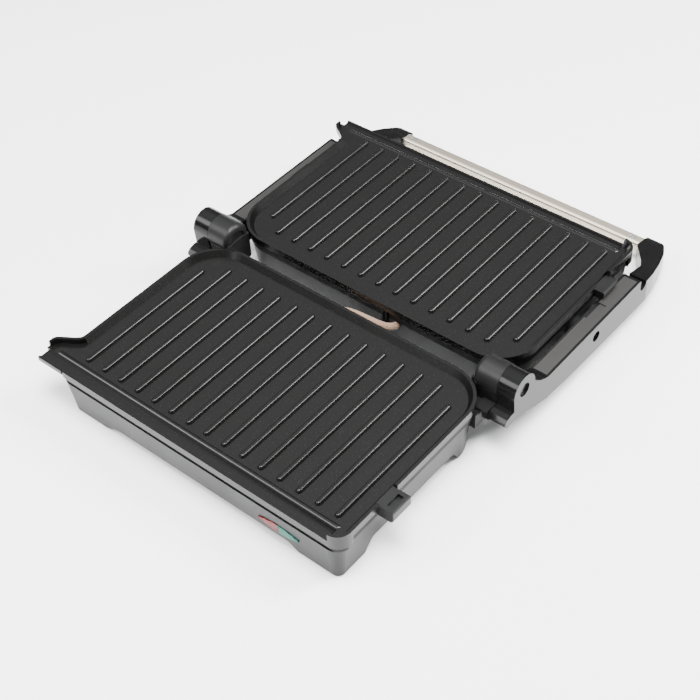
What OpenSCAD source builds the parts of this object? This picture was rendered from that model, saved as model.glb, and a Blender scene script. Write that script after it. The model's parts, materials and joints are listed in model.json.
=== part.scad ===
// Contact grill that opens flat. The base holds the lower plate, and the head, behind it,
// holds the upper plate. Two arms, hinged behind the base and joined by a bar handle,
// carry the head between them on two pivots.
//
// Every piece is drawn with the lower plate's floor at z = 0, its first rib end at y = 0
// and its middle rib at x = 0. place() then stands the grill on its feet. The head's pieces
// are those of the base turned about the hinge line by flip().

/* [Grill plates] */
// width of each plate over its rims
plate_w = 290; // [230:2:350]
// depth of each plate from drip lip to rear rim
plate_d = 182; // [150:2:220]
// number of ribs on each plate
rib_count = 15; // [9:2:17]
// distance from rib to rib
rib_pitch = 18; // [12:0.5:18]
// width of a rib at its foot
rib_w = 5.5; // [3:0.5:8]
// height of a rib
rib_h = 2.5; // [1.5:0.5:4]
// height of the rim above the floor
rim_h = 5; // [3:0.5:6]
// reach of the drip spout beyond the rim
spout_len = 18.5; // [10:0.5:19]
// depth of the drip groove
groove_h = 3.5; // [2:0.5:4]

/* [Housings] */
// height of the lower plate's floor above the table
floor_z = 48; // [46:1:60]
// depth of the head below its plate's floor
head_depth = 41.5; // [38:0.5:45]
// thickness of the housing walls
wall_t = 2.5; // [1.5:0.5:4]
// how far a housing wall leans in per millimetre of height
draft = 0.107; // [0:0.005:0.15]

/* [Hinge and arms] */
// distance from the base plate's rear rim to the hinge line
hinge_gap = 10; // [8:0.5:16]
// height of the hinge line above the lower plate's floor
hinge_h = 6; // [5:0.5:10]
// radius of the hinge knuckles
knuckle_r = 13.5; // [10:0.5:14]
// radius of the hinge pins
pin_r = 4; // [3:0.5:5]
// radius of the pins that the head floats on
pivot_r = 3.5; // [2.5:0.5:4]
// thickness of the arms
arm_t = 16; // [14:0.5:20]
// distance from the hinge line to the head's pivots
pivot_reach = 101; // [90:1:120]
// distance from the head's front lip to the ends of the arms
handle_reach = 50; // [44:1:70]
// width of the handle bar, front to back
bar_w = 11; // [8:0.5:14]
// height of the handle bar
bar_h = 12; // [8:0.5:12]

/* [Latches] */
// length of each plate latch along the rim
latch_len = 20; // [14:1:26]
// how far the lower latch stands out beyond the rim
latch_reach = 12; // [8:0.5:14]
// travel of the lower latch
latch_travel = 4; // [3:0.5:5]

/* [Fits] */
// gap round a part that slides or turns freely
slide_gap = 0.3; // [0.2:0.05:0.5]
// gap between a pin and the bore it turns in
run_gap = 0.05; // [0.02:0.01:0.1]
// gap round a pin or a screw that is fixed
fixed_gap = 0.02; // [0.01:0.01:0.04]

/* [Show] */
// which sub-part to draw

/* [Hidden] */
$fn = 64;
eps = 0.5;

black = [0.06, 0.06, 0.06];
coating = [0.09, 0.09, 0.085];
housing_grey = [0.12, 0.12, 0.12];
arm_grey = [0.1, 0.1, 0.1];
ledge_brown = [0.13, 0.12, 0.11];
steel = [0.75, 0.73, 0.68];

// plate: half width, y of the lip and of the rear rim, and corner radii in front and behind
half_w = plate_w / 2;
lip_y = -18;
rear_y = lip_y + plate_d;
front_r = 12;
rear_r = 36;
plate_outline = [half_w, lip_y, rear_y, front_r, rear_r];
flange_t = 1;
body_h = 7;
plate_t = 4.5;
body_inset = 3.5;
rim_foot = 6;
rim_top = 2.5;
strip_z = -8.5;
lip_h = 2;
lip_t = 2;
bead_y = -5;
bead_r = 2.6;
groove_y = bead_y - bead_r;
groove_end = half_w - front_r;
flare_y = 16;
rib_end = rear_y - 18;
corner_rib_cut = 13.5;
rib_top_r = 1.3;

// carrier: the black frame between a plate and its housing
carrier_z = -14;
seat_z = -body_h;
band_z = -9;
band_inset = 2;
opening = [half_w - 22, lip_y + 22, rear_y - 22, 8, 14];

// housing
front_edge = -7.5;
housing = [half_w - 3.5, lip_y + 0.5, rear_y - 2.5, 10, 33];
head_shell = [half_w - 3.5, lip_y + 0.5, rear_y - 2.5, 12, 33];
seat_gap = 0.46;
seat_inset = half_w - housing[0] + wall_t + lean(carrier_z) + seat_gap;
tub_z = 1.5 - floor_z;
foot_t = 2;
cover_t = 2;
cover_z = -34;
skirt_front_z = -40;
skirt_side_z = -34.6;
foot_front_x = 52;
foot_back_y = 121;
foot_front_y = 21.6;
boss_r = 5.5;
screw_r = 1.5;
screw_head_r = 2.8;
boss_inset = wall_t + lean(cover_z) + slide_gap + screw_head_r + 0.2;
boss_x = half_w - 95;
bosses = [
  for (s = [-1, 1], p = [
    [housing[0] - boss_inset, rear_y - 49],
    [boss_x, housing[1] + boss_inset],
    [boss_x, housing[2] - boss_inset]
  ])
    [s * p[0], p[1]]
];
head_sink = 4.5;

// lamps
lamp_x = half_w - 61.5;
lamp_z = -29.5;
lamp_half = 19.5;
lamp_rise = 4;
lamp_face_y = housing[1] + lean(lamp_z) - 1;
lamp_back_y = housing[1] + wall_t + lean(cover_z);

// opening for the supply cord
inlet_x = -95;
inlet_z = -26;
inlet_r = 5;

// heating element and the tray below it
element_r = 3.3;
element_z = -plate_t - element_r - fixed_gap;
element_x = opening[0] - 15;
element_front = opening[1] + 20;
element_back = opening[2] - 20;
element_bend = 25;
pan_z = -24;
pan_t = 0.8;

// hinge, arms and head
hinge_y = rear_y + hinge_gap;
head_lift = 0.5;
post_in = half_w - 21;
post_out = half_w - 4;
post_front = hinge_y - 30;
post_back = hinge_y + 12;
post_top = -12;
bracket_front_z = -26;
bracket_back_z = -19;
knuckle_in = half_w - 20;
arm_in = half_w + 3;
arm_out = arm_in + arm_t;
knuckle_out = arm_in - slide_gap;
foot_out = arm_in - 1;
pivot_y = hinge_y + pivot_reach;
pivot_z = -18;
end_y = hinge_y + hinge_gap + plate_d + handle_reach;
end_in = half_w - 17.5;
ledge_z = -7;
ledge_start = hinge_y + 33;
ledge_t = 2;
recess_y = pivot_y + 3;
recess_len = 21;
recess_w = 9;
recess_h = 1;
slot_w = 9;
slot_front = end_y - 75;
slot_z = -15.5;
stop_y = hinge_y - 24;
stop_len = 7;
stop_h = 2.7;
screw_recess_r = 6;
screw_recess_h = 3;
pivot_hole_r = 4.75;

// handle
bar_top = -28;
bar_y = end_y - 15;
tongue_w = 6;
tongue_len = 15;
tongue_x = end_in - tongue_len;
bar_mid = bar_y + bar_w / 2;

// latches
latch_y = 35;
latch_in = half_w - 4;
latch_top = 2.5;
stem_w = 9.4;
stem_z = -10.7;
stem_h = 3.4;
stem_in = opening[0] + 1.5;
head_w = 18;
head_t = 2;
pocket_out = opening[0] + 13;
upper_latch_reach = 7;
upper_latch_top = 0;
latch_rim = 3.5;
latch_dip = 3;

// sleeve round the wires from the base to the head
sleeve_r = 3;
sleeve_x = 33;
sleeve_z = -12.5;
sleeve_route = [
  [-26, rear_y - 8, -17.3], [-26, rear_y - 3, -17.3], [-24, rear_y + 1.5, -16], [-18, rear_y + 5.5, -13],
  [-9, rear_y + 8.8, -10.3], [0, rear_y + 10.2, -9.3], [10, rear_y + 11.2, -9.3], [20, rear_y + 12.5, -9.8],
  [28, rear_y + 15, -11], [sleeve_x - 1, rear_y + 19, -12], [sleeve_x, rear_y + 23, sleeve_z],
  [sleeve_x, rear_y + 26.6, sleeve_z]
];
sleeve_sides = 12;
sleeve_gap = 0.6;

mid_y = (lip_y + end_y) / 2;

function lean(z) = draft * (band_z - z);
function flare(t, inset) = [
  -half_w - spout_len * (1 - cos(180 * t)) / 2 + inset * 0.8,
  flare_y - (flare_y + 1) * t - inset * 0.6
];

module place() translate([0, -mid_y, floor_z]) children();
module flip() translate([0, 2 * hinge_y, head_lift]) mirror([0, 1, 0]) children();
module both() {
  children();
  mirror([1, 0, 0]) children();
}
module box(lo, hi) translate(lo) cube(hi - lo);
module along_x(x0, x1) translate([x0, 0, 0]) rotate([90, 0, 90]) linear_extrude(x1 - x0) children();
module along_y(y0, y1) translate([0, y1, 0]) rotate([90, 0, 0]) linear_extrude(y1 - y0) children();
module rod_x(x0, x1, r, y, z) translate([x0, y, z]) rotate([0, 90, 0]) cylinder(r = r, h = x1 - x0);
module rod_y(y0, y1, r, x, z) translate([x, y0, z]) rotate([-90, 0, 0]) cylinder(r = r, h = y1 - y0);

// a block with the rounded outline o from z0 to z1, drawn in by d0 at z0 and by d1 at z1
module taper(o, z0, z1, d0 = 0, d1 = 0) {
  front_x = o[0] - o[3];
  front_c = o[1] + o[3];
  back_x = o[0] - o[4];
  back_c = o[2] - o[4];
  low = o[0] - d0;
  high = o[0] - d1;
  along_y(front_c, back_c) polygon([[-low, z0], [low, z0], [high, z1], [-high, z1]]);
  along_x(-back_x, back_x)
    polygon([[back_c - eps, z0], [o[2] - d0, z0], [o[2] - d1, z1], [back_c - eps, z1]]);
  along_x(-front_x, front_x)
    polygon([[o[1] + d0, z0], [front_c + eps, z0], [front_c + eps, z1], [o[1] + d1, z1]]);
  both() {
    translate([front_x, front_c, z0]) cylinder(r1 = o[3] - d0, r2 = o[3] - d1, h = z1 - z0);
    translate([back_x, back_c, z0]) cylinder(r1 = o[4] - d0, r2 = o[4] - d1, h = z1 - z0);
  }
}

// grill plate

module rib_half() {
  foot = rib_w / 2;
  polygon(concat(
    [[0, -eps], [foot + 0.1, -eps], [foot, 0]],
    [for (a = [0:15:90])
      [foot - 0.7 - rib_top_r + rib_top_r * cos(a), rib_h - rib_top_r + rib_top_r * sin(a)]],
    [[0, rib_h]]
  ));
}

module rib(x, y0, y1) {
  translate([x, 0, 0]) {
    along_y(y0 + rib_w / 2, y1 - rib_w / 2) union() {
      rib_half();
      mirror([1, 0]) rib_half();
    }
    for (y = [y0 + rib_w / 2, y1 - rib_w / 2]) translate([0, y, 0]) rotate_extrude($fn = 32) rib_half();
  }
}

module ribs() {
  last = (rib_count - 1) / 2;
  for (i = [-last:last]) rib(i * rib_pitch, 0, abs(i) == last ? rib_end - corner_rib_cut : rib_end);
}

module spout_outline(inset) {
  polygon(concat(
    [[10 - half_w, lip_y + inset], [-half_w - spout_len, lip_y + inset]],
    [for (t = [1:-0.125:0]) flare(t, inset)],
    [[10 - half_w, flare_y - inset * 0.6]]
  ));
}

module grill_plate() {
  slope = (rim_foot - rim_top) / rim_h;
  far_x = half_w + spout_len + 1;
  difference() {
    union() {
      difference() {
        union() {
          taper(plate_outline, -flange_t, rim_h);
          translate([0, 0, -flange_t]) linear_extrude(flange_t + rim_h) spout_outline(0);
        }
        taper(plate_outline, 0, rim_h + 1, rim_foot, rim_top - slope);
        linear_extrude(rim_h + 1) spout_outline(rim_top);
        box([-far_x, lip_y - 1, 0], [groove_end, bead_y, rim_h + 1]);
      }
      difference() {
        taper(plate_outline, -body_h, -flange_t, body_inset, body_inset);
        taper(opening, -body_h - 1, -plate_t, 1, 1);
      }
      intersection() {
        taper(plate_outline, strip_z, 0);
        box([-far_x, lip_y - 1, strip_z], [far_x, bead_y + 1, 0]);
      }
      box([-half_w - spout_len, lip_y, -groove_h - 2.5], [8 - half_w, bead_y + 1, 0]);
      rod_x(-half_w - 6, groove_end - 1, bead_r, bead_y, bead_r * -0.75);
      translate([groove_end - 1, bead_y, bead_r * -0.75]) sphere(r = bead_r, $fn = 24);
      ribs();
    }
    box([-far_x, lip_y + lip_t, -groove_h], [groove_end - groove_h, groove_y, rim_h + 1]);
    translate([groove_end - groove_h, groove_y, -groove_h]) rotate([90, 0, 0])
      linear_extrude(groove_y - lip_y - lip_t) intersection() {
        translate([0, groove_h]) circle(r = groove_h);
        square([groove_h, groove_h]);
      }
    box([-far_x, lip_y - 1, -lip_h], [groove_end, lip_y + lip_t + eps, rim_h + 1]);
    latch_notch();
    box([latch_in - 4, latch_y - 7.5, -5.3], [half_w, latch_y + 7.5, -2.7]);
  }
}

module element_path(r) {
  x1 = element_x;
  y0 = element_front;
  y1 = element_back;
  b = element_bend;
  for (y = [y0, y1]) rod_x(y == y0 ? b - x1 : -element_x + b, x1 - b, r, y, element_z);
  for (x = [-x1, x1]) rod_y(y0 + b, y1 - b, r, x, element_z);
  for (sx = [-1, 1], sy = [-1, 1])
    translate([sx * (x1 - b), (y0 + y1) / 2 + sy * ((y1 - y0) / 2 - b), element_z])
      rotate([0, 0, sx > 0 ? (sy > 0 ? 0 : 270) : (sy > 0 ? 90 : 180)])
        rotate_extrude(angle = 90) translate([b, 0]) circle(r = r, $fn = 32);
}

module heating_element() {
  gap = 14;
  difference() {
    element_path(element_r);
    box(
      [-gap / 2, element_back - element_r - 1, element_z - 5],
      [gap / 2, element_back + element_r + 1, element_z + 5]
    );
  }
  both() rod_y(element_back, element_back + 12, element_r * 0.6, gap / 2 + 4, element_z);
}

module reflector() {
  difference() {
    union() {
      taper(opening, carrier_z - pan_t, carrier_z, -4, -4);
      taper(opening, pan_z, carrier_z - pan_t / 2, 6, 0);
    }
    taper(opening, pan_z + pan_t, carrier_z + eps, 6 + pan_t, pan_t);
  }
}

module thermostat() translate([-half_w / 3, (rear_y + lip_y) / 2, pan_z - 7]) {
  cylinder(r = 9, h = 7);
  translate([-3, -16, 0]) cube([6, 32, 3]);
}

// carrier

module latch_notch() {
  half = latch_len / 2 + slide_gap;
  box([latch_in - slide_gap, latch_y - half, band_z], [half_w + 10, latch_y + half, rim_h + 1]);
}

module latch_channel() {
  x0 = stem_in - slide_gap;
  z0 = stem_z - slide_gap;
  z1 = seat_z + 0.1;
  stem_half = stem_w / 2 + slide_gap;
  head_half = head_w / 2 + slide_gap;
  box([x0, latch_y - stem_half, z0], [half_w + 5, latch_y + stem_half, z1]);
  box([x0, latch_y - head_half, z0], [pocket_out, latch_y + head_half, z1]);
}

// gap in a housing wall for the latch's stem
module stem_gate() {
  half = stem_w / 2 + slide_gap;
  box([half_w - 10, latch_y - half, stem_z - slide_gap], [half_w, latch_y + half, 0]);
}

module plate_carrier() {
  far_x = half_w + 20;
  difference() {
    union() {
      intersection() {
        taper(plate_outline, band_z, -flange_t, band_inset, band_inset);
        box([-far_x, front_edge, band_z], [far_x, rear_y, 0]);
      }
      intersection() {
        taper(plate_outline, carrier_z, strip_z, band_inset, band_inset);
        box([-far_x, lip_y, carrier_z], [far_x, front_edge, strip_z]);
      }
      taper(plate_outline, carrier_z, band_z, seat_inset, seat_inset);
    }
    taper(opening, carrier_z - 1, 0);
    taper(plate_outline, seat_z, 1, body_inset - slide_gap, body_inset - slide_gap);
    box([-far_x, lip_y - 1, strip_z], [far_x, bead_y + 1 + slide_gap, 1]);
    latch_notch();
    latch_channel();
    for (p = bosses) translate([p[0], p[1], 0]) {
      translate([0, 0, carrier_z - 1]) cylinder(r = screw_r + fixed_gap, h = 10);
      translate([0, 0, seat_z - head_sink]) cylinder(r = screw_head_r + fixed_gap, h = 5);
    }
  }
}

module carrier_screws() {
  for (p = bosses) translate([p[0], p[1], 0]) {
    translate([0, 0, carrier_z - 9]) cylinder(r = screw_r, h = seat_z - head_sink - carrier_z + 9);
    difference() {
      translate([0, 0, seat_z - head_sink]) cylinder(r = screw_head_r, h = 2);
      translate([0, 0, seat_z - head_sink + 2]) cube([0.8, 4, 1.6], center = true);
    }
  }
}

module latch(reach, low, top) {
  y0 = latch_y - latch_len / 2;
  y1 = latch_y + latch_len / 2;
  along_y(y0, y1) polygon(concat(
    [[latch_in, top], [latch_in, low]],
    [for (a = [-90:15:0]) [half_w + reach - 4 + 4 * cos(a), low + 4 + 4 * sin(a)]],
    [for (a = [0:30:90]) [half_w + reach - 1 + cos(a), top - 1 + sin(a)]]
  ));
  box([latch_in - 3.5, latch_y - 7, -5], [latch_in + eps, latch_y + 7, -3]);
  box([latch_in, latch_y - stem_w / 2, stem_z], [half_w, latch_y + stem_w / 2, low + 1]);
  box([stem_in, latch_y - stem_w / 2, stem_z], [latch_in + eps, latch_y + stem_w / 2, stem_z + stem_h]);
  box([stem_in, latch_y - head_w / 2, stem_z], [stem_in + head_t, latch_y + head_w / 2, stem_z + stem_h]);
}

module latch_springs() {
  room = (head_w - stem_w) / 2;
  x0 = stem_in + head_t + latch_travel + 0.2;
  for (s = [-1, 1]) rod_x(x0, pocket_out, 1.5, latch_y + s * (stem_w + room) / 2, stem_z + stem_h / 2);
}

// base

module housing_wall() {
  difference() {
    taper(housing, tub_z, band_z, lean(tub_z), 0);
    taper(housing, tub_z - 1, tub_z, wall_t + lean(tub_z), wall_t + lean(tub_z));
    taper(housing, tub_z, band_z, wall_t + lean(tub_z), wall_t);
    taper(housing, band_z, band_z + 1, wall_t, wall_t);
  }
}

module skirt_cut(half, top, flank) {
  polygon([
    [-half - flank, tub_z - 1], [-half - flank * 0.8, tub_z], [-half, top - 2], [-half + 3, top],
    [half - 3, top], [half, top - 2], [half + flank * 0.8, tub_z], [half + flank, tub_z - 1]
  ]);
}

module base_housing() {
  color(housing_grey) place() {
    difference() {
      union() {
        housing_wall();
        intersection() {
          taper(housing, tub_z, band_z, lean(tub_z), 0);
          union() {
            for (p = bosses) translate([p[0], p[1], cover_z + cover_t])
              cylinder(r = boss_r, h = carrier_z - cover_z - cover_t);
            both() {
              box([half_w - foot_front_x + 8, lip_y, tub_z], [half_w, foot_front_y - 8, tub_z + foot_t]);
              box([half_w - foot_front_x + 8, foot_back_y + 6, tub_z], [half_w, rear_y, tub_z + foot_t]);
            }
          }
        }
      }
      box([-half_w, lip_y - 1, carrier_z], [half_w, front_edge, 0]);
      along_y(lip_y - 1, lip_y + 9) skirt_cut(half_w - foot_front_x, skirt_front_z, 8);
      along_y(rear_y - 12, rear_y + 1) skirt_cut(half_w - foot_front_x, skirt_front_z, 8);
      both() along_x(half_w - 11, half_w) translate([(foot_front_y + foot_back_y) / 2, 0])
        skirt_cut((foot_back_y - foot_front_y) / 2, skirt_side_z, 8);
      for (p = bosses) translate([p[0], p[1], cover_z])
        cylinder(r = screw_r + fixed_gap, h = carrier_z - cover_z + 1);
      stem_gate();
      along_y(lip_y - 1, lip_y + 9) lamp_outline(fixed_gap);
      rod_y(rear_y - 12, rear_y + 1, inlet_r + fixed_gap, inlet_x, inlet_z);
      rod_y(rear_y - 9, rear_y + 1, sleeve_r + sleeve_gap, sleeve_route[0][0], sleeve_route[0][2]);
    }
  }
}

module base_bottom_cover() {
  inset = wall_t + lean(cover_z) + slide_gap;
  color(black) place() difference() {
    taper(housing, cover_z, cover_z + cover_t, inset, inset);
    for (p = bosses) translate([p[0], p[1], cover_z - 1]) cylinder(r = screw_r + fixed_gap, h = cover_t + 2);
    for (x = [-60:12:60], y = [40, 90]) translate([x, y, cover_z - 1]) cube([3, 22, cover_t + 2]);
  }
}

module base_screws() {
  color(steel) place() for (p = bosses) translate([p[0], p[1], cover_z]) {
    difference() {
      translate([0, 0, -2]) cylinder(r = screw_head_r, h = 2);
      translate([0, 0, -2]) cube([0.8, 4, 1.6], center = true);
    }
    cylinder(r = screw_r, h = cover_t + 6);
  }
}

module foot_pads() {
  color(black) place() both() {
    translate([half_w - 26, lip_y + 18, -floor_z]) cylinder(r1 = 8, r2 = 9, h = floor_z + tub_z);
    translate([half_w - 28, rear_y - 28, -floor_z]) cylinder(r1 = 8, r2 = 9, h = floor_z + tub_z);
  }
}

module lower_carrier() color(black) place() plate_carrier();
module lower_grill_plate() color(coating) place() grill_plate();
module lower_heating_element() color(steel) place() heating_element();
module lower_reflector() color(steel) place() reflector();
module lower_thermostat() color(steel) place() thermostat();
module lower_carrier_screws() color(steel) place() carrier_screws();
module lower_latch() {
  half = latch_len / 2 - latch_rim;
  color(black) place() difference() {
    latch(latch_reach, band_z + slide_gap, latch_top);
    box(
      [half_w + latch_rim, latch_y - half, latch_top - latch_dip],
      [half_w + latch_reach - latch_rim, latch_y + half, latch_top + 1]
    );
  }
}
module lower_latch_springs() color(steel) place() latch_springs();

module thermal_fuse() color(steel) place() rod_x(-8, 12, 2.5, element_back - 30, pan_z - 2.5);

module terminal_block() {
  color([0.85, 0.84, 0.8]) place() difference() {
    box([-70, rear_y - 44, cover_z + cover_t], [-34, rear_y - 30, cover_z + cover_t + 7.5]);
    for (i = [0:2]) translate([-64 + i * 12, rear_y - 37, cover_z + cover_t + 4]) cylinder(r = 2, h = 5);
  }
}

module lamp_outline(gap) {
  big = (lamp_half * lamp_half + lamp_rise * lamp_rise) / (2 * lamp_rise);
  intersection() {
    translate([lamp_x, lamp_z + lamp_rise - big]) circle(r = big + gap, $fn = 256);
    translate([lamp_x, lamp_z - lamp_rise + big]) circle(r = big + gap, $fn = 256);
  }
}

module lamp_lens(side) {
  intersection() {
    along_y(lamp_face_y, lamp_back_y) lamp_outline(0);
    box(
      [lamp_x + (side < 0 ? -lamp_half - 1 : 0.15), lip_y, lamp_z - 9],
      [lamp_x + (side < 0 ? -0.15 : lamp_half + 1), 0, lamp_z + 9]
    );
  }
}

module lamp_lens_red() color([0.55, 0.16, 0.13]) place() lamp_lens(-1);
module lamp_lens_green() color([0.1, 0.4, 0.32]) place() lamp_lens(1);

module lamp_board() {
  top = lamp_z + lamp_rise;
  color([0.2, 0.35, 0.2]) place()
    box([lamp_x - lamp_half, lamp_back_y, cover_z + cover_t], [lamp_x + lamp_half, lamp_back_y + 1.6, top]);
}

module cord_inlet() {
  color(black) place() difference() {
    union() {
      rod_y(rear_y - 14, rear_y, inlet_r, inlet_x, inlet_z);
      rod_y(housing[2] - lean(inlet_z + inlet_r + 3), rear_y, inlet_r + 3, inlet_x, inlet_z);
    }
    rod_y(rear_y - 15, rear_y + 1, inlet_r - 1.6, inlet_x, inlet_z);
  }
}

// bracket that carries a knuckle, fitted to the housing's rounded corner
module hinge_bracket() {
  difference() {
    along_x(post_in, post_out) polygon([
      [post_front, bracket_front_z], [rear_y, bracket_front_z], [post_back, bracket_back_z],
      [post_back, post_top], [post_front, post_top]
    ]);
    taper(housing, tub_z, band_z, lean(tub_z), 0);
  }
}

// hinge knuckle with the foot that it stands on and the stop that the open arm rests under
module hinge_knuckle() {
  fillet = 5;
  length = knuckle_out - knuckle_in;
  difference() {
    union() {
      translate([knuckle_in, hinge_y, hinge_h]) rotate([0, 90, 0]) rotate_extrude() difference() {
        union() {
          translate([0, fillet]) square([knuckle_r, length - fillet]);
          square([knuckle_r - fillet, length]);
          translate([knuckle_r - fillet, fillet]) circle(r = fillet);
        }
        translate([-eps, -eps]) square([knuckle_r - fillet - 1 + eps, 1 + eps]);
      }
      hinge_bracket();
      box([post_in, hinge_y - 12, post_top], [foot_out, post_back, hinge_h]);
      box([half_w - 9, stop_y, post_top], [foot_out, hinge_y - 12, post_top + stop_h]);
    }
    rod_x(knuckle_in + 2.5, arm_in + 1, pin_r + run_gap, hinge_y, hinge_h);
  }
}

module hinge_knuckle_right() color(black) place() hinge_knuckle();
module hinge_knuckle_left() color(black) place() mirror([1, 0, 0]) hinge_knuckle();

// arms

module arm_side() {
  h = hinge_y;
  translate([h, hinge_h]) circle(r = knuckle_r, $fn = 96);
  polygon([
    [h - knuckle_r, hinge_h], [h - 12.5, -8], [h - 17, -8.2], [h - 21.5, -9.5], [h - 24, -12],
    [h - 24.3, -14.5],
    [h - 22.5, -16.6], [h - 8, -17.6], [h + 4, -20.3], [h + 16, -25.3], [h + 31, -30], [h + 63, -33],
    [h + 103, -34.3],
    [end_y - 59, -36.3], [end_y - 16, -41.2], [end_y, -42], [end_y, -30.6], [end_y - 3, -29.6],
    [slot_front + slot_w, -13.8], [slot_front + slot_w, ledge_z - 5], [slot_front, ledge_z - 0.4],
    [slot_front - 3, ledge_z], [ledge_start, ledge_z], [h + 28, -5.2], [h + 22, -2], [h + 17, 1.8],
    [h + 13, 5.8], [h, hinge_h]
  ]);
}

module arm_plan() {
  turn_y = slot_front + slot_w + 2;
  turn_len = end_y - turn_y;
  polygon([
    [arm_in, stop_y - 1], [arm_out, stop_y - 1], [arm_out, turn_y], [arm_out - 2, turn_y + 0.2 * turn_len],
    [arm_out - 6.5, turn_y + 0.5 * turn_len], [arm_out - 12.5, turn_y + 0.78 * turn_len],
    [half_w + 0.5, end_y - 3], [half_w - 3, end_y + eps], [end_in, end_y + eps], [end_in, bar_y - 3],
    [half_w - 8, bar_y - 16], [half_w - 1, bar_y - 25], [arm_in, bar_y - 33]
  ]);
}

module arm_cavity() {
  box([arm_in + 3.5, ledge_start + 2, -28], [arm_out - 3.5, slot_front - 5, ledge_z]);
}

module arm_cover_outline(gap) {
  x0 = arm_in + 2 - gap;
  x1 = arm_out - 2.2 + gap;
  y0 = ledge_start + 0.5 - gap;
  y1 = slot_front - 3 + gap;
  difference() {
    box([x0, y0, ledge_z - ledge_t], [x1, y1, ledge_z + 3 * gap]);
    box(
      [x0 - 1, recess_y - gap, ledge_z - recess_h],
      [arm_in + recess_w, recess_y + recess_len + gap, ledge_z + 1]
    );
  }
}

module arm() {
  difference() {
    union() {
      intersection() {
        along_x(end_in, arm_out) arm_side();
        translate([0, 0, -60]) linear_extrude(100) arm_plan();
      }
      box([half_w - 2.5, stop_y, post_top - 4.5], [arm_in + 1, stop_y + stop_len, post_top - 0.1]);
      box(
        [tongue_x, bar_mid - tongue_w / 2, bar_top - 10],
        [end_in + 1, bar_mid + tongue_w / 2, bar_top - 4]
      );
    }
    difference() {
      arm_cavity();
      rod_x(arm_in, arm_out, pivot_r + 5, pivot_y, pivot_z);
    }
    arm_cover_outline(fixed_gap);
    rod_x(arm_in - 1, arm_out, pin_r + fixed_gap, hinge_y, hinge_h);
    rod_x(arm_out - screw_recess_h - 1.2, arm_out + 1, screw_recess_r, hinge_y, hinge_h);
    rod_x(arm_in - 1, arm_out, pivot_r + fixed_gap, pivot_y, pivot_z);
    rod_x(arm_out - 6, arm_out + 1, pivot_hole_r, pivot_y, pivot_z);
    along_x(arm_in - 1, arm_out + 1) translate([slot_front, slot_z]) {
      translate([slot_w / 2, 0]) circle(r = slot_w / 2);
      square([slot_w, 20]);
    }
    translate([end_in - 9, bar_mid, bar_top - 12]) cylinder(r = screw_r + fixed_gap, h = 20);
  }
}

module right_arm() color(arm_grey) place() arm();
module left_arm() color(arm_grey) place() mirror([1, 0, 0]) arm();
module right_arm_cover() color(ledge_brown) place() arm_cover_outline(0);
module left_arm_cover() color(ledge_brown) place() mirror([1, 0, 0]) arm_cover_outline(0);

module hinge_pins() {
  color(steel) place() both() {
    rod_x(knuckle_in + 3, arm_out - screw_recess_h - 1, pin_r, hinge_y, hinge_h);
    difference() {
      rod_x(arm_out - screw_recess_h - 1.2, arm_out - screw_recess_h, screw_recess_r - 0.2, hinge_y, hinge_h);
      translate([arm_out - screw_recess_h, hinge_y, hinge_h]) cube([1.2, 8, 1.2], center = true);
      translate([arm_out - screw_recess_h, hinge_y, hinge_h]) cube([1.2, 1.2, 8], center = true);
    }
  }
}

module pivot_pins() {
  color(steel) place() both() {
    rod_x(half_w - 9, arm_out - 5.5, pivot_r, pivot_y, pivot_z);
    rod_x(arm_out - 6, arm_out - 4.5, pivot_hole_r - 0.1, pivot_y, pivot_z);
  }
}

module handle_bar() {
  round = 3;
  color(steel) place() difference() {
    along_x(-end_in, end_in) translate([bar_y, bar_top - bar_h]) {
      translate([round, 0]) square([bar_w - 2 * round, bar_h]);
      translate([0, round]) square([bar_w, bar_h - 2 * round]);
      for (y = [round, bar_w - round], z = [round, bar_h - round])
        translate([y, z]) circle(r = round, $fn = 32);
    }
    both() {
      box(
        [tongue_x - fixed_gap, bar_mid - tongue_w / 2 - fixed_gap, bar_top - 10 - fixed_gap],
        [end_in + 1, bar_mid + tongue_w / 2 + fixed_gap, bar_top - 4 + fixed_gap]
      );
      translate([end_in - 9, bar_mid, bar_top - 5]) cylinder(r = screw_r + fixed_gap, h = 6);
      translate([end_in - 9, bar_mid, bar_top - 2]) cylinder(r = screw_head_r + fixed_gap, h = 3);
    }
  }
}

module handle_screws() {
  color(steel) place() both() translate([end_in - 9, bar_mid, bar_top]) difference() {
    union() {
      translate([0, 0, -9.5]) cylinder(r = screw_r, h = 8);
      translate([0, 0, -2]) cylinder(r = screw_head_r, h = 1.7);
    }
    cube([0.8, 4, 1.8], center = true);
  }
}

// head

module upper_carrier() color(black) place() flip() plate_carrier();
module upper_grill_plate() color(coating) place() flip() grill_plate();
module upper_heating_element() color(steel) place() flip() heating_element();
module upper_reflector() color(steel) place() flip() reflector();
module upper_thermostat() color(steel) place() flip() thermostat();
module upper_carrier_screws() color(steel) place() flip() carrier_screws();
module upper_latch() {
  low = ledge_z + slide_gap - head_lift;
  color(black) place() flip() latch(upper_latch_reach, low, upper_latch_top);
}
module upper_latch_springs() color(steel) place() flip() latch_springs();

// insets of the head shell at the heights where its rounded back edge changes slope
shell_low = -head_depth;
shell_z = [shell_low, shell_low + 0.8, shell_low + 3, shell_low + 7, band_z];
shell_in = [9.5, 6, 3.6, lean(shell_low + 7), 0];

module shell_block(shrink, low) {
  for (i = [0:3])
    taper(
      head_shell, shell_z[i] + low, shell_z[i + 1] + (i == 3 ? shrink : low),
      shell_in[i] + shrink, shell_in[i + 1] + shrink
    );
}

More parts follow.
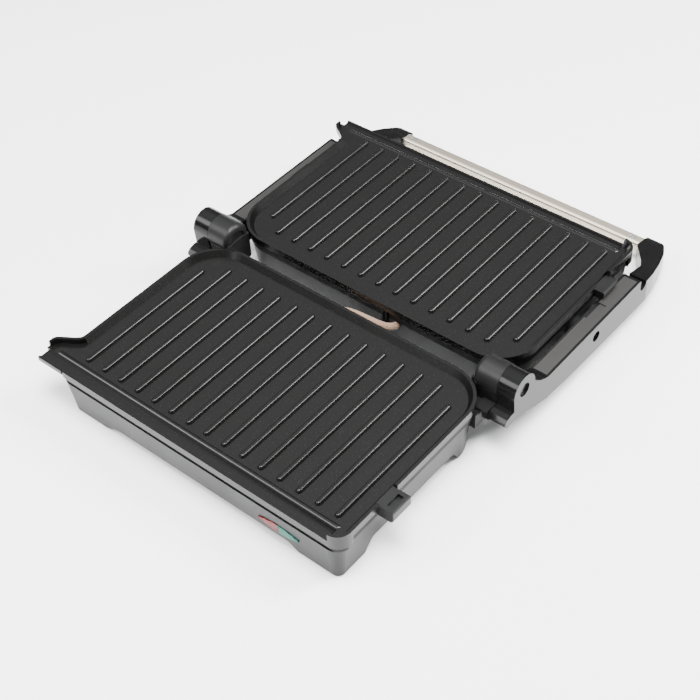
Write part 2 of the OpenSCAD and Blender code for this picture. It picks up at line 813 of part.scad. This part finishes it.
module lid_cover() {
  flip_pivot = 2 * hinge_y - pivot_y;
  boss_start = half_w - min(seat_inset - slide_gap, half_w - head_shell[0] + wall_t);
  color(housing_grey) place() flip() difference() {
    union() {
      difference() {
        shell_block(0, 0);
        shell_block(wall_t, wall_t);
      }
      intersection() {
        shell_block(0, 0);
        for (p = bosses) translate([p[0], p[1], shell_low])
          cylinder(r = boss_r, h = carrier_z - shell_low);
      }
      both() rod_x(boss_start, arm_in - slide_gap, pivot_r + 5, flip_pivot, pivot_z - head_lift);
    }
    box([-half_w, lip_y - 1, carrier_z], [half_w, front_edge, 0]);
    both() rod_x(half_w - 10, arm_in + 1, pivot_r + run_gap, flip_pivot, pivot_z - head_lift);
    for (p = bosses) translate([p[0], p[1], carrier_z - 12]) cylinder(r = screw_r + fixed_gap, h = 14);
    stem_gate();
    rod_y(rear_y - 9, rear_y + 1, sleeve_r + sleeve_gap, sleeve_x, sleeve_z - head_lift);
  }
}

module cable_guard() {
  color(black) place() flip() difference() {
    box([20, rear_y - band_inset, -24], [25, rear_y - 0.2, -flange_t]);
    box([21.2, rear_y - 1, -22.8], [23.8, rear_y, -2.2]);
  }
}

// sleeve: rings of points square to the route, joined into one closed tube
module braided_sleeve() {
  n = len(sleeve_route);
  k = sleeve_sides;
  function heading(i) = sleeve_route[min(i + 1, n - 1)] - sleeve_route[max(i - 1, 0)];
  function unit(v) = v / norm(v);
  function across(i) = unit(cross(heading(i), [0, 0, 1]));
  function up(i) = unit(cross(across(i), heading(i)));
  points = [
    for (i = [0:n - 1], j = [0:k - 1])
      sleeve_route[i] + sleeve_r * (cos(360 * j / k) * across(i) + sin(360 * j / k) * up(i))
  ];
  sides = [
    for (i = [0:n - 2], j = [0:k - 1])
      [i * k + j, i * k + (j + 1) % k, (i + 1) * k + (j + 1) % k, (i + 1) * k + j]
  ];
  first = [for (j = [k - 1:-1:0]) j];
  last = [for (j = [0:k - 1]) (n - 1) * k + j];
  color([0.72, 0.62, 0.5]) place() polyhedron(points, concat(sides, [first, last]));
}

base_housing();
base_bottom_cover();
foot_pads();
lower_carrier();
lower_grill_plate();
lower_heating_element();
lower_reflector();
lower_thermostat();
thermal_fuse();
terminal_block();
lamp_lens_red();
lamp_lens_green();
lamp_board();
cord_inlet();
base_screws();
lower_carrier_screws();
hinge_knuckle_left();
hinge_knuckle_right();
lower_latch_springs();
lower_latch();
left_arm();
right_arm();
left_arm_cover();
right_arm_cover();
handle_bar();
handle_screws();
hinge_pins();
pivot_pins();
braided_sleeve();
upper_carrier();
lid_cover();
upper_grill_plate();
upper_heating_element();
upper_reflector();
upper_thermostat();
cable_guard();
upper_carrier_screws();
upper_latch_springs();
upper_latch();
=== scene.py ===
"""A contact grill lying open flat, with ribbed plates, hinged arms, a steel bar and a braided sleeve."""

import json
import math

import bpy
import numpy as np
from mathutils import Matrix, Vector


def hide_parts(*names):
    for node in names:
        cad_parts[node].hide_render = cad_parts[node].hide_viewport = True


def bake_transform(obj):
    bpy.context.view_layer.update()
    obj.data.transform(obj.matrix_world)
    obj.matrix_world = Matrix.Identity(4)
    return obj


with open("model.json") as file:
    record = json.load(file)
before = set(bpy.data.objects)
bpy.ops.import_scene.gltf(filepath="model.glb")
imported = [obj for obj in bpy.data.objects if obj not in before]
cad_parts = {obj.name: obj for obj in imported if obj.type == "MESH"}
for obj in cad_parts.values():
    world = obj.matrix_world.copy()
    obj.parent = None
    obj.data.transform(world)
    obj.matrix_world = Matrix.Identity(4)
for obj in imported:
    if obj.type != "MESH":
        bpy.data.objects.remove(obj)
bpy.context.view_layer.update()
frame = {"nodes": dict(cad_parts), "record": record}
nodes = frame["nodes"]
MM = 0.001

# ---------------------------------------------------------------------------
# Camera, lights and floor
# ---------------------------------------------------------------------------

CAMERA_AT = Vector((0.5482, -0.6423, 0.8209))
CAMERA_AZIMUTH = math.radians(41.99)
CAMERA_ELEVATION = math.radians(44.91)
CAMERA_ROLL = math.radians(-3.68)
CAMERA_LENS = 72.74
# the sine of the elevation where the surround starts to brighten, and where it is brightest
HORIZON_DARK = 0.35
SKY_BRIGHT = 0.98
# the surround's strength at those two heights
DARK_STRENGTH = 0.12
BRIGHT_STRENGTH = 1.9


def set_camera():
    """The camera has an azimuth, from -Y towards +X, and an elevation, and rolls about its line of sight."""
    back = Vector(
        (
            math.sin(CAMERA_AZIMUTH) * math.cos(CAMERA_ELEVATION),
            -math.cos(CAMERA_AZIMUTH) * math.cos(CAMERA_ELEVATION),
            math.sin(CAMERA_ELEVATION),
        )
    )
    level = Vector((math.cos(CAMERA_AZIMUTH), math.sin(CAMERA_AZIMUTH), 0))
    upright = back.cross(level)
    right = math.cos(CAMERA_ROLL) * level + math.sin(CAMERA_ROLL) * upright
    up = math.cos(CAMERA_ROLL) * upright - math.sin(CAMERA_ROLL) * level
    data = bpy.data.cameras.new("camera")
    data.lens = CAMERA_LENS
    data.sensor_width = 36
    data.clip_start = 0.01
    camera = bpy.data.objects.new("camera", data)
    turn = Matrix((right, up, back)).transposed().to_4x4()
    camera.matrix_world = Matrix.Translation(CAMERA_AT) @ turn
    bpy.context.scene.collection.objects.link(camera)
    bpy.context.scene.camera = camera


def add_softbox(name, place, target, width, height, power):
    """A rectangular soft light at a place, turned towards a target."""
    data = bpy.data.lights.new(name, "AREA")
    data.shape = "RECTANGLE"
    data.size = width
    data.size_y = height
    data.energy = power
    light = bpy.data.objects.new(name, data)
    light.location = place
    light.rotation_euler = (Vector(target) - Vector(place)).to_track_quat("-Z", "Y").to_euler()
    bpy.context.scene.collection.objects.link(light)


def set_lights():
    """A surround that is dark near the horizon and bright overhead, a top light over the floor, and two
    strips that light the edges of the ribs and of the drip bead."""
    world = bpy.data.worlds.new("studio")
    bpy.context.scene.world = world
    world.use_nodes = True
    tree = world.node_tree
    background = tree.nodes["Background"]
    place = tree.nodes.new("ShaderNodeTexCoord")
    split = tree.nodes.new("ShaderNodeSeparateXYZ")
    height = tree.nodes.new("ShaderNodeMapRange")
    height.interpolation_type = "SMOOTHSTEP"
    height.inputs["From Min"].default_value = HORIZON_DARK
    height.inputs["From Max"].default_value = SKY_BRIGHT
    height.inputs["To Min"].default_value = DARK_STRENGTH
    height.inputs["To Max"].default_value = BRIGHT_STRENGTH
    background.inputs["Color"].default_value = (0.98, 0.99, 1.0, 1)
    tree.links.new(place.outputs["Generated"], split.inputs["Vector"])
    tree.links.new(split.outputs["Z"], height.inputs["Value"])
    tree.links.new(height.outputs["Result"], background.inputs["Strength"])
    add_softbox("top", (0.35, -0.25, 2.0), (0, 0, 0), 0.9, 0.9, 130)
    add_softbox("rib_strip", (0.98, 0.98, 1.35), (0, 0, 0.03), 0.5, 1.0, 75)
    add_softbox("bead_strip", (-0.9, -1.3, 1.3), (0, -0.05, 0.03), 1.4, 0.9, 55)


def add_floor():
    """One flat pale square at table height."""
    half = 6.0
    corners = [(-half, -half, 0), (half, -half, 0), (half, half, 0), (-half, half, 0)]
    mesh = bpy.data.meshes.new("floor")
    mesh.from_pydata(corners, [], [(0, 1, 2, 3)])
    floor = bpy.data.objects.new("floor", mesh)
    bpy.context.scene.collection.objects.link(floor)
    material = bpy.data.materials.new("pale_floor")
    material.use_nodes = True
    shader = material.node_tree.nodes["Principled BSDF"]
    shader.inputs["Base Color"].default_value = (0.92, 0.92, 0.92, 1)
    shader.inputs["Roughness"].default_value = 0.7
    mesh.materials.append(material)


# ---------------------------------------------------------------------------
# Shared surface effects
# ---------------------------------------------------------------------------


def new_group(name, inputs, outputs):
    """An empty shader group with named float inputs and typed outputs."""
    tree = bpy.data.node_groups.new(name, "ShaderNodeTree")
    for label, default in inputs:
        socket = tree.interface.new_socket(label, in_out="INPUT", socket_type="NodeSocketFloat")
        socket.default_value = default
    for label, kind in outputs:
        tree.interface.new_socket(label, in_out="OUTPUT", socket_type=kind)
    start = tree.nodes.new("NodeGroupInput")
    end = tree.nodes.new("NodeGroupOutput")
    return tree, start, end


def object_noise(tree, scale_from, detail, roughness=0.55):
    """Noise on Object coordinates, whose scale comes from a socket."""
    place = tree.nodes.new("ShaderNodeTexCoord")
    noise = tree.nodes.new("ShaderNodeTexNoise")
    noise.inputs["Detail"].default_value = detail
    noise.inputs["Roughness"].default_value = roughness
    tree.links.new(place.outputs["Object"], noise.inputs["Vector"])
    tree.links.new(scale_from, noise.inputs["Scale"])
    return noise


def make_grain_group():
    """Moulded or sprayed grain: fine noise as a bump, and a broad noise that makes the roughness drift."""
    tree, start, end = new_group(
        "surface_grain",
        [
            ("Grain Scale", 1500),
            ("Grain Depth", 0.00002),
            ("Drift Scale", 18),
            ("Smooth", 0.3),
            ("Rough", 0.4),
        ],
        [("Normal", "NodeSocketVector"), ("Roughness", "NodeSocketFloat"), ("Grain", "NodeSocketFloat")],
    )
    grain = object_noise(tree, start.outputs["Grain Scale"], 3)
    drift = object_noise(tree, start.outputs["Drift Scale"], 4)
    bump = tree.nodes.new("ShaderNodeBump")
    bump.inputs["Strength"].default_value = 1
    tree.links.new(start.outputs["Grain Depth"], bump.inputs["Distance"])
    tree.links.new(grain.outputs["Fac"], bump.inputs["Height"])
    spread = tree.nodes.new("ShaderNodeMapRange")
    spread.inputs["From Min"].default_value = 0.3
    spread.inputs["From Max"].default_value = 0.7
    tree.links.new(drift.outputs["Fac"], spread.inputs["Value"])
    tree.links.new(start.outputs["Smooth"], spread.inputs["To Min"])
    tree.links.new(start.outputs["Rough"], spread.inputs["To Max"])
    tree.links.new(bump.outputs["Normal"], end.inputs["Normal"])
    tree.links.new(spread.outputs["Result"], end.inputs["Roughness"])
    tree.links.new(grain.outputs["Fac"], end.inputs["Grain"])
    return tree


def make_speckle_group():
    """Scattered specks: Voronoi cells, kept where the cell's own value is low, and only near its centre."""
    tree, start, end = new_group(
        "speckle",
        [("Speck Scale", 900), ("Speck Size", 0.3), ("Share", 0.25)],
        [("Mask", "NodeSocketFloat")],
    )
    place = tree.nodes.new("ShaderNodeTexCoord")
    cells = tree.nodes.new("ShaderNodeTexVoronoi")
    tree.links.new(place.outputs["Object"], cells.inputs["Vector"])
    tree.links.new(start.outputs["Speck Scale"], cells.inputs["Scale"])
    near = tree.nodes.new("ShaderNodeMath")
    near.operation = "LESS_THAN"
    tree.links.new(cells.outputs["Distance"], near.inputs[0])
    tree.links.new(start.outputs["Speck Size"], near.inputs[1])
    split = tree.nodes.new("ShaderNodeSeparateColor")
    tree.links.new(cells.outputs["Color"], split.inputs["Color"])
    chosen = tree.nodes.new("ShaderNodeMath")
    chosen.operation = "LESS_THAN"
    tree.links.new(split.outputs["Red"], chosen.inputs[0])
    tree.links.new(start.outputs["Share"], chosen.inputs[1])
    both = tree.nodes.new("ShaderNodeMath")
    both.operation = "MULTIPLY"
    tree.links.new(near.outputs["Value"], both.inputs[0])
    tree.links.new(chosen.outputs["Value"], both.inputs[1])
    tree.links.new(both.outputs["Value"], end.inputs["Mask"])
    return tree


def make_brush_group():
    """Brushed metal: noise stretched along X, as a bump and a roughness."""
    tree, start, end = new_group(
        "brushed_lines",
        [("Line Scale", 2200), ("Depth", 0.00001), ("Smooth", 0.22), ("Rough", 0.36)],
        [("Normal", "NodeSocketVector"), ("Roughness", "NodeSocketFloat"), ("Lines", "NodeSocketFloat")],
    )
    place = tree.nodes.new("ShaderNodeTexCoord")
    stretch = tree.nodes.new("ShaderNodeMapping")
    stretch.inputs["Scale"].default_value = (0.015, 1, 1)
    noise = tree.nodes.new("ShaderNodeTexNoise")
    noise.inputs["Detail"].default_value = 3
    tree.links.new(place.outputs["Object"], stretch.inputs["Vector"])
    tree.links.new(stretch.outputs["Vector"], noise.inputs["Vector"])
    tree.links.new(start.outputs["Line Scale"], noise.inputs["Scale"])
    bump = tree.nodes.new("ShaderNodeBump")
    tree.links.new(start.outputs["Depth"], bump.inputs["Distance"])
    tree.links.new(noise.outputs["Fac"], bump.inputs["Height"])
    spread = tree.nodes.new("ShaderNodeMapRange")
    tree.links.new(noise.outputs["Fac"], spread.inputs["Value"])
    tree.links.new(start.outputs["Smooth"], spread.inputs["To Min"])
    tree.links.new(start.outputs["Rough"], spread.inputs["To Max"])
    tree.links.new(bump.outputs["Normal"], end.inputs["Normal"])
    tree.links.new(spread.outputs["Result"], end.inputs["Roughness"])
    tree.links.new(noise.outputs["Fac"], end.inputs["Lines"])
    return tree


GRAIN = make_grain_group()
SPECKLE = make_speckle_group()
BRUSH = make_brush_group()


def put_group(material, group, **values):
    """Places a group in a material and sets its inputs; grain_scale=5 sets the input Grain Scale."""
    node = material.node_tree.nodes.new("ShaderNodeGroup")
    node.node_tree = group
    for label, value in values.items():
        node.inputs[label.replace("_", " ").title()].default_value = value
    return node


def new_material(name, metallic=0.0, specular=0.5, coat=0.0, coat_roughness=0.1, sheen=0.0):
    """A Principled material with its constant values on the shader's own sockets."""
    material = bpy.data.materials.new(name)
    material.use_nodes = True
    shader = material.node_tree.nodes["Principled BSDF"]
    shader.inputs["Metallic"].default_value = metallic
    shader.inputs["Specular IOR Level"].default_value = specular
    shader.inputs["Coat Weight"].default_value = coat
    shader.inputs["Coat Roughness"].default_value = coat_roughness
    shader.inputs["Sheen Weight"].default_value = sheen
    return material, shader


def mix_colours(material, factor, first, second):
    """The colour between first and second, by a factor socket."""
    mix = material.node_tree.nodes.new("ShaderNodeMix")
    mix.data_type = "RGBA"
    mix.inputs["A"].default_value = (*first, 1)
    mix.inputs["B"].default_value = (*second, 1)
    material.node_tree.links.new(factor, mix.inputs["Factor"])
    return mix.outputs["Result"]


def grained_plastic(name, dark, light, smooth, rough, scale=1500, depth=0.00002, **finish):
    """Moulded plastic: two near colours mixed by the grain, with its bump and drifting roughness."""
    material, shader = new_material(name, **finish)
    grain = put_group(material, GRAIN, grain_scale=scale, grain_depth=depth, smooth=smooth, rough=rough)
    links = material.node_tree.links
    links.new(mix_colours(material, grain.outputs["Grain"], dark, light), shader.inputs["Base Color"])
    links.new(grain.outputs["Roughness"], shader.inputs["Roughness"])
    links.new(grain.outputs["Normal"], shader.inputs["Normal"])
    return material


def brushed_metal(name, dark, light, smooth, rough):
    """Brushed metal: two near tones along the brush lines."""
    material, shader = new_material(name, metallic=1.0)
    lines = put_group(material, BRUSH, smooth=smooth, rough=rough)
    links = material.node_tree.links
    links.new(mix_colours(material, lines.outputs["Lines"], dark, light), shader.inputs["Base Color"])
    links.new(lines.outputs["Roughness"], shader.inputs["Roughness"])
    links.new(lines.outputs["Normal"], shader.inputs["Normal"])
    return material


def nonstick_coating():
    """Sprayed non-stick coating: near-black with fine lighter specks and a slight orange peel."""
    material, shader = new_material("nonstick_coating", specular=0.32)
    grain = put_group(
        material, GRAIN, grain_scale=900, grain_depth=0.000002, drift_scale=10, smooth=0.22, rough=0.28
    )
    specks = put_group(material, SPECKLE, speck_scale=1100, speck_size=0.28, share=0.2)
    links = material.node_tree.links
    links.new(
        mix_colours(material, specks.outputs["Mask"], (0.0024, 0.0023, 0.0022), (0.013, 0.0127, 0.012)),
        shader.inputs["Base Color"],
    )
    links.new(grain.outputs["Roughness"], shader.inputs["Roughness"])
    links.new(grain.outputs["Normal"], shader.inputs["Normal"])
    return material


def lamp_lens_material(name, deep, bright):
    """Tinted lens: a deep colour with lighter prism rows, which are also a slight bump."""
    material, shader = new_material(name, specular=0.2)
    tree = material.node_tree
    place = tree.nodes.new("ShaderNodeTexCoord")
    rows = tree.nodes.new("ShaderNodeTexWave")
    rows.bands_direction = "Z"
    rows.inputs["Scale"].default_value = 220
    rows.inputs["Distortion"].default_value = 0.6
    tree.links.new(place.outputs["Object"], rows.inputs["Vector"])
    tree.links.new(mix_colours(material, rows.outputs["Fac"], deep, bright), shader.inputs["Base Color"])
    bump = tree.nodes.new("ShaderNodeBump")
    bump.inputs["Distance"].default_value = 0.00008
    tree.links.new(rows.outputs["Fac"], bump.inputs["Height"])
    tree.links.new(bump.outputs["Normal"], shader.inputs["Normal"])
    shader.inputs["Roughness"].default_value = 0.25
    return material


def woven_glass_fibre():
    """Woven fibre: a fine mottle of two warm browns, with a fine bump and a roughness that drifts."""
    material, shader = new_material("woven_fibre", specular=0.3, sheen=0.3)
    grain = put_group(
        material, GRAIN, grain_scale=5200, grain_depth=0.00006, drift_scale=160, smooth=0.55, rough=0.8
    )
    links = material.node_tree.links
    links.new(
        mix_colours(material, grain.outputs["Grain"], (0.1, 0.05, 0.028), (0.34, 0.22, 0.14)),
        shader.inputs["Base Color"],
    )
    links.new(grain.outputs["Roughness"], shader.inputs["Roughness"])
    links.new(grain.outputs["Normal"], shader.inputs["Normal"])
    return material


def make_finishes():
    """One finish for each slot of the record."""
    return {
        "coating": nonstick_coating(),
        "housing": grained_plastic(
            "housing_plastic", (0.007, 0.0072, 0.0074), (0.011, 0.011, 0.011), 0.26, 0.36,
            scale=2600, depth=0.000012, specular=0.14
        ),
        "cover": grained_plastic("cover_plastic", (0.012,) * 3, (0.02,) * 3, 0.5, 0.6, 1600, 0.00005),
        "rubber": grained_plastic("pad_rubber", (0.016,) * 3, (0.028,) * 3, 0.7, 0.85, 2200, 0.00006),
        # carrier: black plastic whose two colours are deepened further as painted shade for the deep recess
        # it sits in
        "carrier": grained_plastic(
            "carrier_plastic_with_painted_shade", (0.002,) * 3, (0.004,) * 3, 0.42, 0.55, 2000, 0.00002, specular=0.15
        ),
        "element": brushed_metal("element_steel", (0.16, 0.13, 0.11), (0.36, 0.32, 0.28), 0.35, 0.5),
        "tray": brushed_metal("tray_sheet", (0.6, 0.6, 0.6), (0.75, 0.75, 0.75), 0.2, 0.32),
        "thermostat": brushed_metal("plated_steel", (0.45, 0.43, 0.4), (0.62, 0.6, 0.56), 0.25, 0.4),
        "ceramic": grained_plastic(
            "ceramic", (0.62, 0.6, 0.55), (0.75, 0.73, 0.68), 0.5, 0.65, 1800, 0.00005
        ),
        "lamp_red": lamp_lens_material("red_lens", (0.07, 0.006, 0.005), (0.2, 0.025, 0.02)),
        "lamp_green": lamp_lens_material("green_lens", (0.002, 0.05, 0.036), (0.01, 0.15, 0.11)),
        "board": grained_plastic("board_laminate", (0.03, 0.1, 0.04), (0.05, 0.16, 0.07), 0.4, 0.5),
        "knuckle": grained_plastic(
            "knuckle_plastic", (0.004, 0.004, 0.0042), (0.009, 0.009, 0.009), 0.36, 0.46,
            scale=1500, depth=0.00003, specular=0.2
        ),
        "latch": grained_plastic(
            "latch_plastic", (0.003,) * 3, (0.006,) * 3, 0.32, 0.42, 2000, 0.00002, specular=0.3
        ),
        "arm": grained_plastic(
            "arm_plastic", (0.003,) * 3, (0.005,) * 3, 0.14, 0.22, 2600, 0.000006,
            specular=0.16, coat=0.03, coat_roughness=0.08
        ),
        "ledge": grained_plastic(
            "ledge_plastic", (0.01, 0.0095, 0.009), (0.018, 0.017, 0.016), 0.4, 0.5, 1500, 0.00005
        ),
        "bar": brushed_metal("bar_steel", (0.5, 0.44, 0.35), (0.68, 0.61, 0.51), 0.34, 0.46),
        "screws": brushed_metal("screw_steel", (0.4, 0.4, 0.4), (0.58, 0.58, 0.58), 0.25, 0.4),
        "braid": woven_glass_fibre(),
    }


def finish_cad_nodes(finishes):
    """Each CAD node takes the finish of the slot that the record gives it."""
    slot_of = {s["node"]: s["material_slot"] for s in frame["record"]["subparts"]}
    for name, piece in nodes.items():
        piece.data.materials.clear()
        piece.data.materials.append(finishes[slot_of[name]])


# ---------------------------------------------------------------------------
# Braided sleeve
# ---------------------------------------------------------------------------

PLATE_REAR = 164
MIDDLE_Y = 199
FLOOR_Z = 48
SLEEVE_ROUTE = [
    (-26, PLATE_REAR - 8, -17.3),
    (-26, PLATE_REAR - 3, -17.3),
    (-24, PLATE_REAR + 1.5, -16),
    (-18, PLATE_REAR + 5.5, -13),
    (-9, PLATE_REAR + 8.8, -10.3),
    (0, PLATE_REAR + 10.2, -9.3),
    (10, PLATE_REAR + 11.2, -9.3),
    (20, PLATE_REAR + 12.5, -9.8),
    (28, PLATE_REAR + 15, -11),
    (32, PLATE_REAR + 19, -12),
    (33, PLATE_REAR + 23, -12.5),
    (33, PLATE_REAR + 26.6, -12.5),
]
# curve points worked out from each route point to the next
CURVE_STEPS = 24
SLEEVE_RADIUS = 2.75 * MM
YARNS_EACH_WAY = 10
YARN_WIDTH = 1.25 * MM
YARN_THICK = 0.34 * MM
YARN_WAVE = 0.22 * MM
# the core takes every fourth route point
CORE_STEP = 4
CORE_INSET = 0.45 * MM


def smooth_route(points, count):
    """Points evenly spaced along the Catmull-Rom curve through the given ones, in metres in the frame."""
    p = (np.array(points, float) + [0, -MIDDLE_Y, FLOOR_Z]) * MM
    p = np.vstack([2 * p[0] - p[1], p, 2 * p[-1] - p[-2]])
    t = np.linspace(0, 1, CURVE_STEPS, endpoint=False)[:, None, None]
    a, b, c, d = p[:-3], p[1:-2], p[2:-1], p[3:]
    curve = 0.5 * (2 * b + (c - a) * t + (2 * a - 5 * b + 4 * c - d) * t**2 + (3 * b - a - 3 * c + d) * t**3)
    curve = np.vstack([curve.transpose(1, 0, 2).reshape(-1, 3), p[-2]])
    length = np.r_[0, np.cumsum(np.linalg.norm(np.diff(curve, axis=0), axis=1))]
    even = np.linspace(0, length[-1], count)
    return np.stack([np.interp(even, length, curve[:, k]) for k in range(3)], 1), length[-1]


def square_frames(route):
    """At each route point, the heading and two directions square to it, the first one level."""
    heading = np.gradient(route, axis=0)
    heading /= np.linalg.norm(heading, axis=1)[:, None]
    across = np.cross(heading, [0, 0, 1.0])
    across /= np.linalg.norm(across, axis=1)[:, None]
    return heading, across, np.cross(across, heading)


def grid_faces(rows, columns, offset=0):
    """Quads of a grid that is closed round its columns, and end caps over the first and last rows."""
    r = np.arange(rows - 1)[:, None] * columns
    c = np.arange(columns)[None, :]
    n = (c + 1) % columns
    quads = np.stack([r + c, r + n, r + columns + n, r + columns + c], -1).reshape(-1, 4) + offset
    first = list(range(offset + columns - 1, offset - 1, -1))
    last = list(range(offset + (rows - 1) * columns, offset + rows * columns))
    return quads.tolist() + [first, last]


def new_piece(name, vertices, faces, finish):
    """A mesh object at the origin with a finish."""
    mesh = bpy.data.meshes.new(name)
    mesh.from_pydata(vertices.tolist(), [], faces)
    mesh.validate()
    mesh.shade_smooth()
    piece = bpy.data.objects.new(name, mesh)
    bpy.context.scene.collection.objects.link(piece)
    mesh.materials.append(finish)
    return piece


def add_braid(finishes):
    """Yarns wind both ways round the route, over a plain core. A yarn's angle grows with distance, its
    radius rises and dips as it passes over and under the others, and its section is a flat ellipse."""
    stations = 260
    section = 6
    route, length = smooth_route(SLEEVE_ROUTE, stations)
    heading, across, up = square_frames(route)
    along = np.linspace(0, length, stations)
    pitch = 15 * MM
    ring = np.linspace(0, 2 * np.pi, section, endpoint=False)
    vertices, faces = [], []
    for way in (1, -1):
        for k in range(YARNS_EACH_WAY):
            angle = way * 2 * np.pi * along / pitch + 2 * np.pi * k / YARNS_EACH_WAY
            wave = way * np.cos(YARNS_EACH_WAY * (2 * np.pi * along / pitch) + np.pi * k)
            out = np.cos(angle)[:, None] * across + np.sin(angle)[:, None] * up
            round_ = -np.sin(angle)[:, None] * across + np.cos(angle)[:, None] * up
            lean = way * 2 * np.pi * SLEEVE_RADIUS / pitch
            side = heading * lean - round_
            side /= np.linalg.norm(side, axis=1)[:, None]
            centre = route + out * (SLEEVE_RADIUS + YARN_WAVE * wave)[:, None]
            tube = (
                centre[:, None]
                + 0.5 * YARN_WIDTH * np.cos(ring)[None, :, None] * side[:, None]
                + 0.5 * YARN_THICK * np.sin(ring)[None, :, None] * out[:, None] * way
            )
            faces += grid_faces(stations, section, len(vertices) * stations * section)
            vertices.append(tube.reshape(-1, 3))
    braid = new_piece("sleeve_braid", np.vstack(vertices), faces, finishes["braid"])
    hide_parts("braided_sleeve")
    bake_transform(braid)
    sides = 20
    turn = np.linspace(0, 2 * np.pi, sides, endpoint=False)
    step = slice(None, None, CORE_STEP)
    ring = np.cos(turn)[None, :, None] * across[step, None] + np.sin(turn)[None, :, None] * up[step, None]
    core = route[step, None] + (SLEEVE_RADIUS - CORE_INSET) * ring
    wires = new_piece(
        "sleeve_core", core.reshape(-1, 3), grid_faces(core.shape[0], sides), finishes["braid"]
    )
    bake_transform(wires)


set_camera()
set_lights()
add_floor()
finishes = make_finishes()
finish_cad_nodes(finishes)
add_braid(finishes)

bpy.context.view_layer.update()
